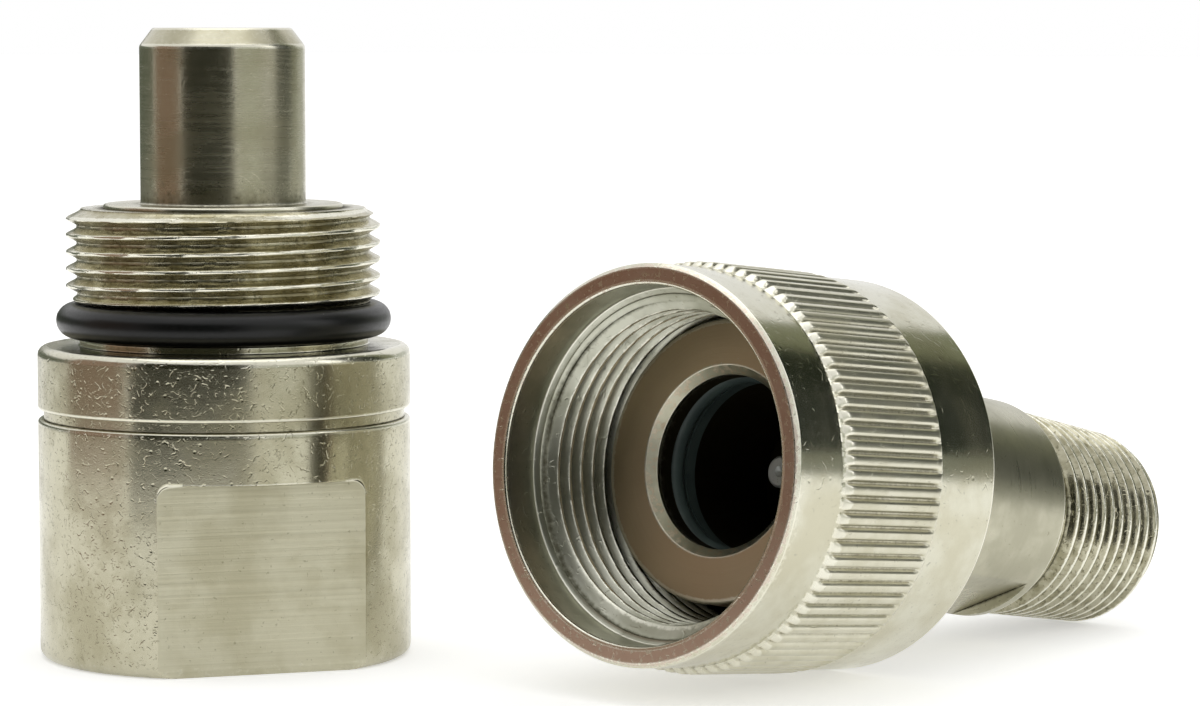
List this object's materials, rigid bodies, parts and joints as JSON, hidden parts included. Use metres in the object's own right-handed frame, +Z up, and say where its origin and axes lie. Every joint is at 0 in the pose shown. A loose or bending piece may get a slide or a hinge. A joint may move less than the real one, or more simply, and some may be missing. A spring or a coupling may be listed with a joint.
{
  "type": "liquid cooling quick coupling",
  "caption": "Screw-to-connect quick coupling, apart: a plug half with nozzle and threaded collar stands by a socket half with a knurled nut.",
  "frame": {"origin": "centre of the plug's port face, on the floor", "axes": "+Z up along the plug's axis, +X along the lying socket from its mouth to its tail, seen from above"},
  "size_m": [0.0862, 0.0801, 0.056],
  "materials": {
    "nickel_plated_steel": "nickel plate, satin from the lathe",
    "bronzed_steel": "turned steel with thin worn plate",
    "bare_steel": "fine turned",
    "spring_steel": "drawn wire",
    "black_rubber": "moulded, slight sheen",
    "seal_plastic": "filled seal plastic, smooth"
  },
  "bodies": {
    "housings": {"plug_port_body": "nickel_plated_steel", "plug_nose": "nickel_plated_steel", "plug_nozzle": "nickel_plated_steel", "plug_spring": "spring_steel", "plug_spring_guide": "bare_steel", "plug_snap_ring": "spring_steel", "collar_ring": "black_rubber", "plug_body_ring": "black_rubber", "nozzle_foot_ring": "black_rubber", "nut_keeper_ring": "spring_steel", "socket_body": "bronzed_steel", "socket_tail": "nickel_plated_steel", "bore_ring": "black_rubber", "bore_backup_ring": "seal_plastic", "socket_joint_ring": "black_rubber", "socket_spring": "spring_steel", "socket_spring_guide": "bare_steel"},
    "nut": {"coupling_nut": "nickel_plated_steel"},
    "plug_valve_piece": {"plug_valve": "bare_steel", "plug_valve_ring": "black_rubber"},
    "socket_valve_piece": {"socket_valve": "bare_steel", "socket_valve_ring": "black_rubber"}
  },
  "joints": [
    {"name": "nut_spin", "type": "hinge", "parent": "housings", "child": "nut", "pos_m": [0.0034, -0.0462, 0.01993], "axis": [0.9938, 0, -0.1115], "continuous": true},
    {"name": "plug_valve_slide", "type": "slide", "parent": "housings", "child": "plug_valve_piece", "axis": [0, 0, -1], "range_m": [0, 0.0032], "stiffness_N_per_m": 2000, "springref_m": -0.004, "deforming": ["plug_spring"]},
    {"name": "socket_valve_slide", "type": "slide", "parent": "housings", "child": "socket_valve_piece", "axis": [0.9809, 0, -0.1946], "range_m": [0, 0.0032], "stiffness_N_per_m": 2000, "springref_m": -0.004, "deforming": ["socket_spring"]}
  ]
}
